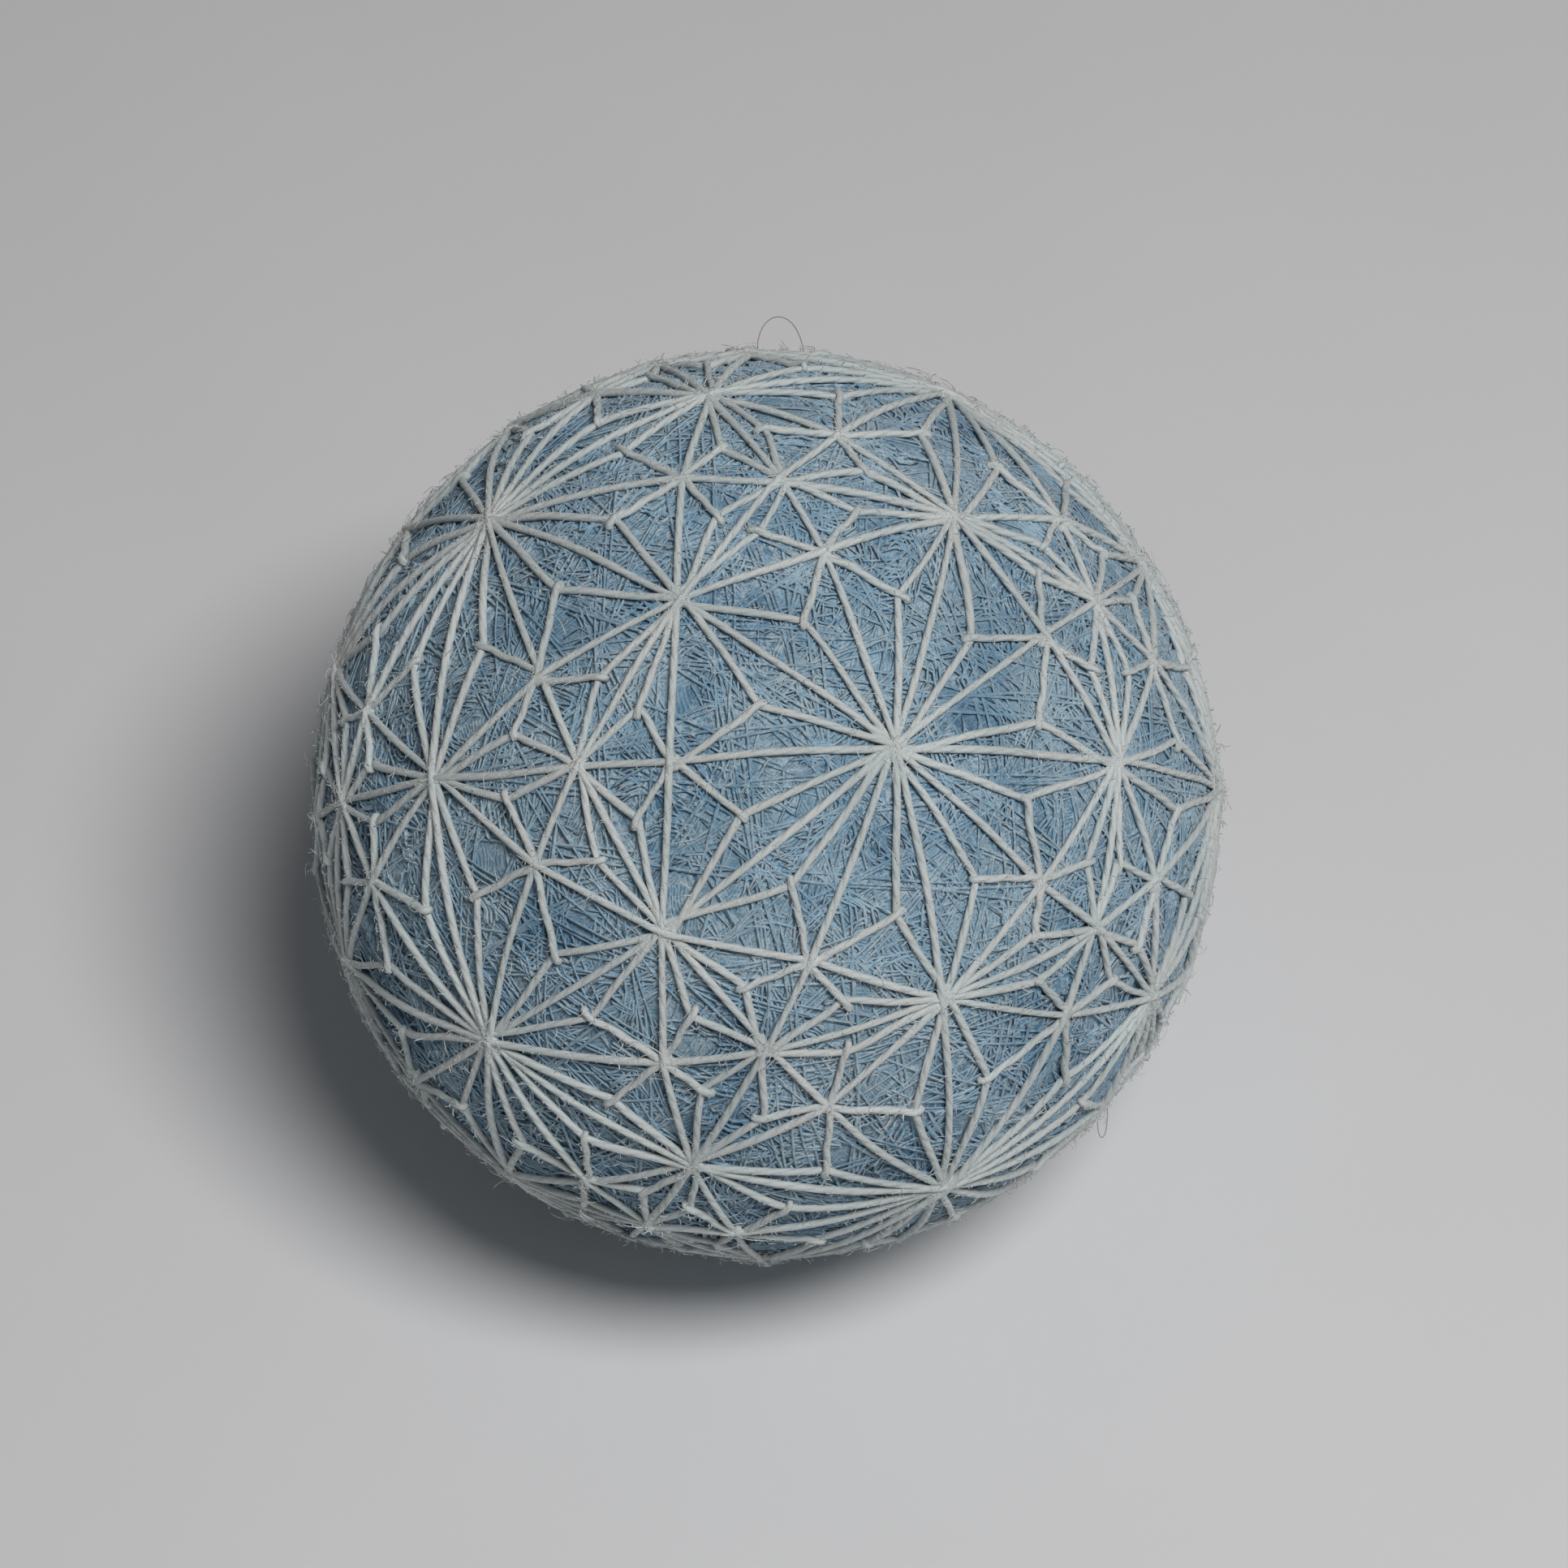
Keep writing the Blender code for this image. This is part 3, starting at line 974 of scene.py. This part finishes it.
def faded(tree, value, low, high):
    """0 where a value is at low or beyond it, 1 at high or beyond it, and smooth between."""
    values = {"Value": value, "From Min": low, "From Max": high}
    return add_node(tree, "MapRange", values, interpolation_type="SMOOTHSTEP").outputs["Result"]


def opaque(colour):
    return (*colour, 1.0)


def mixed(tree, factor, first, second):
    values = {"Factor": factor, 6: first, 7: second}
    return add_node(tree, "Mix", values, data_type="RGBA", clamp_factor=True).outputs[2]


def object_spot(tree):
    return add_node(tree, "TexCoord").outputs["Object"]


def noise(tree, place, size, detail=2.0, distortion=0.0):
    """A smooth noise whose waves have about this size."""
    settings = {"Vector": place, "Scale": 1.0 / size, "Detail": detail, "Distortion": distortion}
    return add_node(tree, "TexNoise", settings).outputs["Fac"]


def curled_lines(tree, place, size, width):
    """Fine curled lines, where a smooth noise passes through its middle value."""
    off_line = calculated(tree, "SUBTRACT", noise(tree, place, size, 1.0, CURL_DISTORTION), 0.5)
    return faded(tree, calculated(tree, "ABSOLUTE", off_line), width, 0.0)


def patchy(tree, spot, patches):
    """How strong a kind of patch is at each place on the ball."""
    place = vector_result(tree, "ADD", spot, patches.start)
    shown = faded(tree, noise(tree, place, patches.size), patches.low, patches.high)
    return calculated(tree, "MULTIPLY", shown, patches.strength)


def rounded(tree, value):
    """Round tops side by side, one for each whole number that a value passes."""
    wave = calculated(tree, "SINE", calculated(tree, "MULTIPLY", value, math.pi))
    return calculated(tree, "ABSOLUTE", wave)


def fibre_cover(tree, spot):
    """How much of the face loose curled fibres cover, more in some places than in others."""
    lines = 0.0
    for start, size, width in CURLED_LINES:
        place = vector_result(tree, "ADD", spot, start)
        lines = calculated(tree, "MAXIMUM", curled_lines(tree, place, size, width), lines)
    share = weighted(tree, ((patchy(tree, spot, FUZZY_PATCHES), 1.0), (lines, CURLS_EVERYWHERE)))
    return calculated(tree, "MULTIPLY", lines, share)


def new_material(name, roughness, sheen):
    material = bpy.data.materials.new(name)
    material.use_nodes = True
    tree = material.node_tree
    shader = tree.nodes["Principled BSDF"]
    finish = {"Roughness": roughness, "Sheen Weight": sheen, **SHARED_FINISH}
    for name, value in finish.items():
        shader.inputs[name].default_value = value
    return material, tree, shader


def finished(tree, shader, dye, shade, relief, relief_height, fibre_strength):
    """Links a thread's colour and relief to its shader, with deeper and hazier places and loose fibres."""
    spot = object_spot(tree)
    cover = fibre_cover(tree, spot)
    dark, light, deep, haze, fibre = (opaque(colour) for colour in dye)
    colour = mixed(tree, shade, dark, light)
    colour = mixed(tree, patchy(tree, spot, DEEP_PATCHES), colour, deep)
    colour = mixed(tree, patchy(tree, spot, HAZY_PATCHES), colour, haze)
    colour = mixed(tree, calculated(tree, "MULTIPLY", cover, fibre_strength), colour, fibre)
    tree.links.new(colour, shader.inputs["Base Color"])
    height = weighted(tree, ((relief, relief_height / MM), (cover, CURL_RELIEF)))
    bump = add_node(tree, "Bump", {"Height": height, "Strength": RELIEF_STRENGTH, "Distance": MM})
    tree.links.new(bump.outputs["Normal"], shader.inputs["Normal"])


def thread_material(name, dye, twist):
    """Twisted thread: plies that wind round it, fine fibres along them, and each thread's own tone, with
    painted shade in the valleys between plies and painted highlight on their tops.
    """
    material, tree, shader = new_material(name, *THREAD_FINISH)
    place = add_node(tree, "UVMap", uv_map="thread")
    split = add_node(tree, "SeparateXYZ", {"Vector": place.outputs["UV"]})
    around = calculated(tree, "MULTIPLY", split.outputs["X"], float(twist.plies))
    along = calculated(tree, "DIVIDE", split.outputs["Y"], twist.pitch / MM)
    turned = calculated(tree, "ADD", around, along)
    ply = rounded(tree, turned)
    across_fibres = calculated(tree, "MULTIPLY", turned, FIBRES_PER_PLY)
    along_fibres = calculated(tree, "MULTIPLY", along, FIBRES_PER_PITCH)
    fibre_place = add_node(tree, "CombineXYZ", {"X": across_fibres, "Y": along_fibres})
    fibre = noise(tree, fibre_place.outputs[0], FIBRE_NOISE_SIZE, FIBRE_NOISE_DETAIL)
    tone = add_node(tree, "Attribute", attribute_name="tone").outputs["Fac"]
    # The plies' part of the colour is painted shade in their valleys and painted highlight on their tops
    tone_share = TONE_AND_PAINTED_PLY_SHADE - twist.ply_share
    shade = weighted(tree, ((tone, tone_share), (ply, twist.ply_share), (fibre, FIBRE_SHADE)))
    relief = weighted(tree, ((ply, 1.0), (fibre, FIBRE_RELIEF)))
    finished(tree, shader, dye, shade, relief, twist.relief_height, twist.fibre_strength)
    return material


def strand_bunches(tree, spot, moved_by, size, pitch):
    """Strands side by side in short bunches, each bunch with its own direction: how high, and how light,
    with painted shade between the strands and painted highlight on their tops.

    The ball's face is shared out into cells of about this size, one for each bunch.
    """
    place = vector_result(tree, "ADD", spot, moved_by)
    cell = add_node(tree, "TexVoronoi", {"Vector": place, "Scale": 1.0 / size})
    middle = vector_result(tree, "SUBTRACT", cell.outputs["Position"], moved_by)
    out = vector_result(tree, "SUBTRACT", middle, tuple(CENTRE))
    any_way = vector_result(tree, "SUBTRACT", cell.outputs["Color"], (0.5, 0.5, 0.5))
    across = vector_result(tree, "NORMALIZE", vector_result(tree, "CROSS_PRODUCT", out, any_way))
    bend = noise(tree, place, BUNCH_BEND_SIZE, 1.0)
    reach = vector_result(tree, "DOT_PRODUCT", spot, across)
    line = weighted(tree, ((reach, 1.0 / pitch), (bend, BUNCH_BEND)))
    round_top = rounded(tree, line)
    split = add_node(tree, "SeparateXYZ", {"Vector": cell.outputs["Color"]})
    number = add_node(tree, "CombineXYZ", {"X": calculated(tree, "FLOOR", line), "Y": split.outputs["Z"]})
    tone = add_node(tree, "TexWhiteNoise", {"Vector": number.outputs[0]}).outputs["Value"]
    raised = faded(tree, cell.outputs["Distance"], *BUNCH_FADES)
    height = weighted(tree, zip((round_top, tone, raised, split.outputs["X"]), STRAND_HEIGHTS))
    own_light = weighted(tree, zip((tone, split.outputs["Y"]), STRAND_LIGHTS))
    # The round top darkens each strand's sides: painted shade between strands and painted highlight on their
    # tops
    return height, calculated(tree, "MULTIPLY", round_top, own_light)


def uppermost(tree, layers):
    """The height and lightness of whichever layer is highest."""
    height, light = layers[0]
    for other_height, other_light in layers[1:]:
        over = calculated(tree, "GREATER_THAN", other_height, height)
        light = add_node(tree, "Mix", {"Factor": over, 2: light, 3: other_light}).outputs[0]
        height = calculated(tree, "MAXIMUM", height, other_height)
    return height, light


def underlayer_material(dye):
    """Thread that lies a little deeper, darker than the turns as painted shade: short bunches of strands
    that cross in every direction, with painted shade between the strands.
    """
    material, tree, shader = new_material("deeper blue thread", *UNDERLAYER_FINISH)
    spot = object_spot(tree)
    layers = [strand_bunches(tree, spot, *row) for row in BUNCH_LAYERS]
    height, light = uppermost(tree, layers)
    finished(tree, shader, dye, light, height, UNDERLAYER_RELIEF, UNDERLAYER_FIBRE_STRENGTH)
    return material


def floor_material():
    material, tree, shader = new_material("pale floor", *FLOOR_FINISH)
    grain = noise(tree, object_spot(tree), FLOOR_GRAIN, FLOOR_GRAIN_DETAIL)
    darker, lighter = FLOOR_COLOURS
    tree.links.new(mixed(tree, grain, opaque(darker), opaque(lighter)), shader.inputs["Base Color"])
    return material


# Floor, lights and camera

def add_floor():
    half = FLOOR_HALF_WIDTH
    mesh = bpy.data.meshes.new("floor")
    corners = [(-half, -half, 0.0), (half, -half, 0.0), (half, half, 0.0), (-half, half, 0.0)]
    mesh.from_pydata(corners, [], [(0, 1, 2, 3)])
    mesh.materials.append(floor_material())
    linked("floor", mesh)


def add_key_light():
    """A soft light from high on the front right, wider from left to right than from front to back."""
    lamp = bpy.data.lights.new("key", "AREA")
    lamp.shape = "ELLIPSE"
    lamp.size, lamp.size_y = KEY_WIDTHS
    lamp.energy = KEY_POWER
    lamp.color = KEY_COLOUR
    place = Vector(KEY_PLACE)
    away = (place - Vector(CENTRE)).normalized()
    side = Vector(VIEW_RIGHT)
    side = (side - away * side.dot(away)).normalized()
    obj = linked("key", lamp)
    obj.location = place
    obj.rotation_euler = Matrix((side, away.cross(side), away)).transposed().to_euler()


def add_room_light():
    world = bpy.data.worlds.new("room")
    world.use_nodes = True
    background = world.node_tree.nodes["Background"]
    background.inputs["Color"].default_value = ROOM_COLOUR
    background.inputs["Strength"].default_value = ROOM_STRENGTH
    bpy.context.scene.world = world


def add_camera():
    distance = CAMERA_DISTANCE_RADII * OUTLINE_RADIUS
    focal_pixels = BALL_PIXEL_RADIUS * math.sqrt(CAMERA_DISTANCE_RADII**2 - 1.0)
    right, up = Vector(VIEW_RIGHT), Vector(VIEW_UP)
    forward = up.cross(right)
    middle = FRAME_PIXELS / 2.0
    across = (BALL_PIXEL_X - middle) / focal_pixels * distance
    above = (middle - BALL_PIXEL_Y) / focal_pixels * distance
    data = bpy.data.cameras.new("camera")
    data.sensor_width = SENSOR_WIDTH
    data.lens = SENSOR_WIDTH * focal_pixels / FRAME_PIXELS
    data.clip_start, data.clip_end = CLIP_RANGE
    camera = linked("camera", data)
    camera.location = Vector(CENTRE) - right * across - up * above - forward * distance
    camera.rotation_euler = forward.to_track_quat("-Z", "Y").to_euler()
    bpy.context.scene.camera = camera
    bpy.context.scene.view_settings.view_transform = "Standard"


def dress(piece):
    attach(piece, "root")
    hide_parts("wound_ball")


def wind_ball():
    """The layer under the turns, the turns themselves, and the short lengths that come up between them."""
    blue = thread_material("blue wound thread", WOUND_DYE, WOUND_TWIST)
    dress(underlayer(underlayer_material(UNDERLAYER_PAINTED_SHADE_DYE)))
    rng = np.random.default_rng(WOUND_SEED)
    tubes = TubeMesh(WOUND_SIDES)
    for thread in wound_turns(rng):
        tubes.add(thread)
    dress(tubes.to_object("wound_turns", blue))
    for number in range(GLIMPSE_PIECES):
        piece = glimpses(rng, f"wound_glimpses_{number + 1}", GLIMPSE_GROUPS // GLIMPSE_PIECES, blue)
        dress(piece)


def stitch_net():
    """The net's pieces. Returns their threads, for the fibres that lie on them."""
    white = thread_material("off-white stitched thread", STITCHED_DYE, STITCHED_TWIST)
    net = Net(make_fields(random.Random(STRAY_SEED)))
    rng = np.random.default_rng(NET_SEED)
    line_tubes, line_threads = lay_lines(net, rng)
    vee_tubes, stem_tubes, stitch_threads = lay_stitches(net, rng)
    for tubes, name in ((line_tubes, "net_lines"), (vee_tubes, "net_vees"), (stem_tubes, "net_stems")):
        dress(tubes.to_object(name, white))
    return line_threads + stitch_threads


def add_loose_fibres(stitched):
    white_fibre = thread_material("loose off-white fibre", STITCHED_FIBRE_DYE, FIBRE_TWIST)
    blue_fibre = thread_material("loose blue fibre", WOUND_FIBRE_DYE, FIBRE_TWIST)
    rng = np.random.default_rng(FUZZ_SEED)
    on_threads = partial(thread_roots, threads=stitched)
    fuzz = loose_fibres(rng, "stitched_fuzz", on_threads, STITCHED_FUZZ, white_fibre)
    dress(fuzz)
    fuzz = loose_fibres(rng, "wound_fuzz", face_roots, WOUND_FUZZ, blue_fibre)
    dress(fuzz)
    dress(stray_hairs(thread_material("grey hair", HAIR_DYE, FIBRE_TWIST)))


add_camera()
add_floor()
add_key_light()
add_room_light()
wind_ball()
add_loose_fibres(stitch_net())
